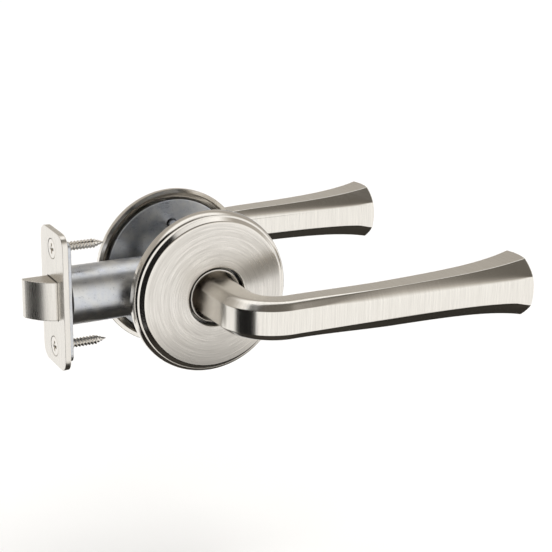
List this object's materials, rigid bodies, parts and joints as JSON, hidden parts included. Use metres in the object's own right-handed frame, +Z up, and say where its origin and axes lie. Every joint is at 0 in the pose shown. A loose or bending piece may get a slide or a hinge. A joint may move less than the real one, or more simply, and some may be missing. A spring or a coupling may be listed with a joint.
{
  "type": "lever handle lockset",
  "caption": "Passage lever handle lockset: flared octagonal levers on round stepped roses, joined by a square spindle through a tubular spring latch.",
  "frame": {"origin": "on the spindle's axis, halfway through the thickness of the door", "axes": "+X from the spindle towards the lever tips and away from the door's edge, -Y towards the outside of the door, +Z up"},
  "size_m": [0.1955, 0.152, 0.068],
  "materials": {
    "satin_nickel": "warm satin nickel plate, brushed, with polished steps on the roses",
    "zinc_steel": "bright zinc plated steel",
    "spring_steel": "oiled spring steel wire and strip",
    "black_steel": "black oxide steel",
    "nylon": "natural white nylon"
  },
  "bodies": {
    "door_side": {"outside_rose": "satin_nickel", "outside_mounting_plate": "zinc_steel", "outside_spring_cover": "zinc_steel", "outside_neck_bush": "nylon", "outside_return_spring": "spring_steel", "inside_rose": "satin_nickel", "inside_mounting_plate": "zinc_steel", "inside_spring_cover": "zinc_steel", "inside_neck_bush": "nylon", "inside_return_spring": "spring_steel", "upper_post": "zinc_steel", "upper_through_bolt": "zinc_steel", "upper_latch_screw": "satin_nickel", "lower_post": "zinc_steel", "lower_through_bolt": "zinc_steel", "lower_latch_screw": "satin_nickel", "latch_faceplate": "satin_nickel", "latch_backplate": "zinc_steel", "latch_case": "zinc_steel", "latch_spring": "spring_steel"},
    "handles": {"outside_lever": "satin_nickel", "outside_drive_hub": "zinc_steel", "outside_retaining_ring": "spring_steel", "outside_set_screw": "black_steel", "inside_lever": "satin_nickel", "inside_drive_hub": "zinc_steel", "inside_retaining_ring": "spring_steel", "inside_set_screw": "black_steel", "spindle": "zinc_steel", "latch_cam": "zinc_steel"},
    "latch": {"latch_bolt": "satin_nickel", "latch_yoke": "zinc_steel"}
  },
  "joints": [
    {"name": "lever_turn", "type": "hinge", "parent": "door_side", "child": "handles", "pos_m": [0, 0, 0], "axis": [0, 1, 0], "range_deg": [0, 55], "stiffness_Nm_per_rad": 0.6, "springref_deg": -51.57, "deforming": ["outside_return_spring", "inside_return_spring"]},
    {"name": "bolt_slide", "type": "slide", "parent": "door_side", "child": "latch", "axis": [1, 0, 0], "range_m": [0, 0.0111], "deforming": ["latch_spring"]}
  ],
  "couplings": [
    {"joint": "bolt_slide", "follows": "lever_turn", "m_per_rad": 0.01146}
  ]
}
